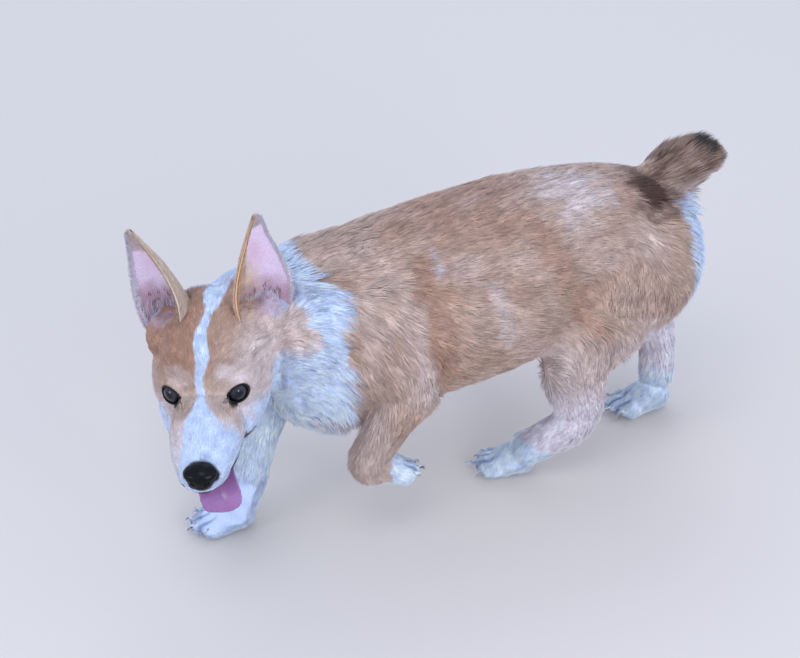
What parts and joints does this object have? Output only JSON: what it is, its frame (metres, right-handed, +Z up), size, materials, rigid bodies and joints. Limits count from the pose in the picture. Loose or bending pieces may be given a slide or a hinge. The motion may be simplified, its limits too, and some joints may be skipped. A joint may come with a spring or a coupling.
{
  "type": "pembroke welsh corgi",
  "caption": "Young Pembroke Welsh corgi walking with its head turned to its left, one forepaw lifted, ears pricked, mouth open and tongue out.",
  "frame": {"origin": "middle of the bounding box, on the floor under the paws", "axes": "+Z up, the body heads along -X, and the dog's left side is at -Y"},
  "size_m": [0.5124, 0.177, 0.3101],
  "materials": {
    "tan_coat": "short fur, fawn red",
    "white_coat": "short fur, white",
    "ear": "thin fur outside, pink skin inside",
    "eye": "wet, very dark brown",
    "nose": "moist black leather",
    "tongue": "wet pink"
  },
  "bodies": {
    "root": {"ear_left": "ear", "ear_right": "ear", "eye_left": "eye", "eye_right": "eye", "forearm_left": "tan_coat", "forearm_right": "white_coat", "forepaw_left": "white_coat", "forepaw_right": "white_coat", "head": "tan_coat", "hind_paw_left": "white_coat", "hind_paw_right": "white_coat", "loin": "tan_coat", "lower_jaw": "white_coat", "neck": "white_coat", "nose_pad": "nose", "pastern_left": "tan_coat", "pastern_right": "tan_coat", "ribcage": "tan_coat", "rump": "tan_coat", "shank_left": "tan_coat", "shank_right": "tan_coat", "shoulder_left": "tan_coat", "shoulder_right": "tan_coat", "tail": "tan_coat", "thigh_left": "tan_coat", "thigh_right": "tan_coat", "tongue": "tongue"}
  },
  "joints": []
}
